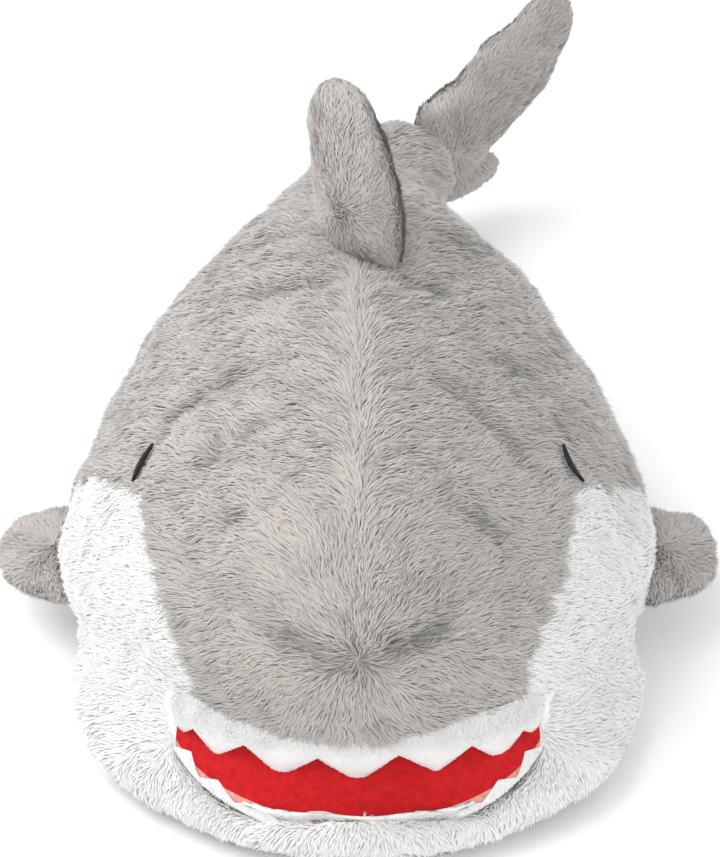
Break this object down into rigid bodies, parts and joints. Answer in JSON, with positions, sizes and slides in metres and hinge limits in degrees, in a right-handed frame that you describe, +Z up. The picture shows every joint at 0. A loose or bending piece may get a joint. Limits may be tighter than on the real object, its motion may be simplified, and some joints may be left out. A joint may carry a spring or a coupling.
{
  "type": "plush shark",
  "caption": "Stuffed fur shark lying on its belly, grey above and white below, with a grinning red lined mouth, soft jaw, fins and a curling tail.",
  "frame": {"origin": "on the flat of the belly, under the middle of the torso", "axes": "+Z up out of the back, -Y towards the snout, +X to the side that the tail curls to"},
  "size_m": [0.4174, 0.674, 0.2765],
  "materials": {
    "grey_fur": "matte",
    "white_fur": "matte",
    "red_felt": "matte",
    "black_thread": "satin",
    "fibre_fill": "matte"
  },
  "bodies": {
    "torso": {"back_panel_left": "grey_fur", "back_panel_right": "grey_fur", "cheek_panel_left": "white_fur", "cheek_panel_right": "white_fur", "belly_panel": "white_fur", "body_stuffing": "fibre_fill", "upper_lip": "white_fur", "mouth_palate": "red_felt", "eye_left": "black_thread", "eye_right": "black_thread"},
    "jaw": {"jaw_panel": "white_fur", "jaw_stuffing": "fibre_fill", "lower_teeth": "white_fur", "mouth_floor": "red_felt"},
    "tail": {"tail_panel_left": "grey_fur", "tail_panel_right": "grey_fur", "tail_belly_panel": "white_fur", "tail_stuffing": "fibre_fill"},
    "caudal_fin": {"caudal_panel_left": "grey_fur", "caudal_panel_right": "grey_fur", "caudal_stuffing": "fibre_fill"},
    "dorsal_fin": {"dorsal_panel_left": "grey_fur", "dorsal_panel_right": "grey_fur", "dorsal_stuffing": "fibre_fill"},
    "pectoral_left": {"pectoral_left_top": "grey_fur", "pectoral_left_bottom": "white_fur", "pectoral_left_stuffing": "fibre_fill"},
    "pectoral_right": {"pectoral_right_top": "grey_fur", "pectoral_right_bottom": "white_fur", "pectoral_right_stuffing": "fibre_fill"}
  },
  "joints": [
    {"name": "jaw_open", "type": "hinge", "parent": "torso", "child": "jaw", "pos_m": [0, -0.205, 0.054], "axis": [1, 0, 0], "range_deg": [0, 8], "stiffness_Nm_per_rad": 6},
    {"name": "tail_bend", "type": "hinge", "parent": "torso", "child": "tail", "pos_m": [0, 0.15, 0.07], "axis": [0, 0, 1], "range_deg": [-15, 15], "stiffness_Nm_per_rad": 1.5},
    {"name": "caudal_flop", "type": "hinge", "parent": "tail", "child": "caudal_fin", "pos_m": [0.05798, 0.26498, 0.07188], "axis": [-0.0479, -0.0359, 0.9982], "range_deg": [-25, 25], "stiffness_Nm_per_rad": 0.3},
    {"name": "dorsal_flop", "type": "hinge", "parent": "torso", "child": "dorsal_fin", "pos_m": [-0.00003, -0.01952, 0.21053], "axis": [-0.5232, 0.8461, -0.1015], "range_deg": [-30, 30], "stiffness_Nm_per_rad": 0.3},
    {"name": "pectoral_left_flap", "type": "hinge", "parent": "torso", "child": "pectoral_left", "pos_m": [-0.1726, -0.13149, 0.04301], "axis": [0, 1, 0], "range_deg": [-20, 30], "stiffness_Nm_per_rad": 0.15},
    {"name": "pectoral_right_flap", "type": "hinge", "parent": "torso", "child": "pectoral_right", "pos_m": [0.1726, -0.13149, 0.04301], "axis": [0, -1, 0], "range_deg": [-20, 30], "stiffness_Nm_per_rad": 0.15}
  ]
}
